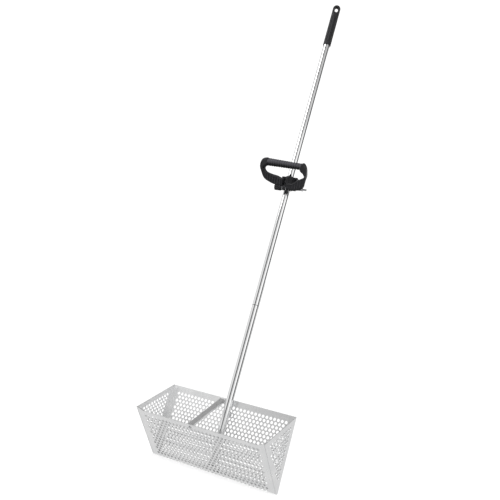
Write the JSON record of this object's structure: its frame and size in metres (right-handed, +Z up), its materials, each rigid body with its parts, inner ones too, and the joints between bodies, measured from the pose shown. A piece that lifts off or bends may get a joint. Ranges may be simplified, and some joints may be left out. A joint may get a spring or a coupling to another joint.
{
  "type": "beach sand scoop",
  "caption": "Long-handled beach sand scoop: a V-shaped perforated metal trough on a two-piece tube pole, with a clamped D-handle part way up and a grip with a hanging slot at the top.",
  "frame": {"origin": "middle of the scoop's width and depth, at the bottom of the trough's fold", "axes": "+Z up along the pole, +X along the trough to the right end, -Y towards the trough's mouth and the user's side of the D-handle"},
  "size_m": [0.38, 0.144, 1.405],
  "materials": {
    "sheet_steel": "bright perforated stainless sheet",
    "tube_steel": "polished stainless tube",
    "fastener_steel": "zinc-bright steel",
    "black_steel": "black-oxide steel",
    "turned_aluminium": "turned",
    "handle_plastic": "black moulded plastic, satin",
    "grip_rubber": "black ribbed grip",
    "nylon": "black nylon"
  },
  "bodies": {
    "scoop": {"front_panel": "sheet_steel", "back_panel": "sheet_steel", "left_end_panel": "sheet_steel", "right_end_panel": "sheet_steel", "cross_brace": "sheet_steel", "brace_rivets": "fastener_steel", "pole_saddles": "fastener_steel", "pole_screws": "fastener_steel", "pole_washers": "fastener_steel", "lower_tube": "tube_steel", "tube_insert": "turned_aluminium", "foot_cap": "nylon", "thread_socket": "turned_aluminium"},
    "ring": {"joint_ring": "nylon"},
    "upper_pole": {"upper_tube": "tube_steel", "thread_stud": "turned_aluminium", "end_grip": "grip_rubber"},
    "slider": {"clamp_liner": "grip_rubber"},
    "clamp": {"clamp_front": "handle_plastic", "clamp_rear": "handle_plastic", "clamp_screws": "black_steel", "clamp_nuts": "black_steel"},
    "loop": {"d_loop": "handle_plastic", "bar_grip": "grip_rubber", "friction_washers": "fastener_steel", "stud_nut": "fastener_steel"},
    "knob": {"knob_stud": "fastener_steel", "tension_knob": "handle_plastic", "knob_washer": "fastener_steel"}
  },
  "joints": [
    {"name": "joint_rise", "type": "slide", "parent": "scoop", "child": "ring", "axis": [0, 0, 1], "range_m": [0, 0.006]},
    {"name": "joint_turn", "type": "hinge", "parent": "ring", "child": "upper_pole", "pos_m": [0, 0.05497, 0.447], "axis": [0, 0, 1], "range_deg": [0, 1440]},
    {"name": "clamp_slide", "type": "slide", "parent": "upper_pole", "child": "slider", "axis": [0, 0, 1], "range_m": [-0.25, 0.3]},
    {"name": "clamp_turn", "type": "hinge", "parent": "slider", "child": "clamp", "pos_m": [0, 0.05497, 0.81], "axis": [0, 0, 1], "continuous": true},
    {"name": "handle_tilt", "type": "hinge", "parent": "clamp", "child": "loop", "pos_m": [0.00234, 0.0327, 0.788], "axis": [0.9945, 0.1045, 0], "range_deg": [-15, 60]},
    {"name": "knob_turn", "type": "hinge", "parent": "loop", "child": "knob", "pos_m": [0.00234, 0.0327, 0.788], "axis": [-0.9945, -0.1045, 0], "range_deg": [0, 720]}
  ],
  "couplings": [
    {"joint": "joint_rise", "follows": "joint_turn", "m_per_rad": 0.00023873}
  ]
}
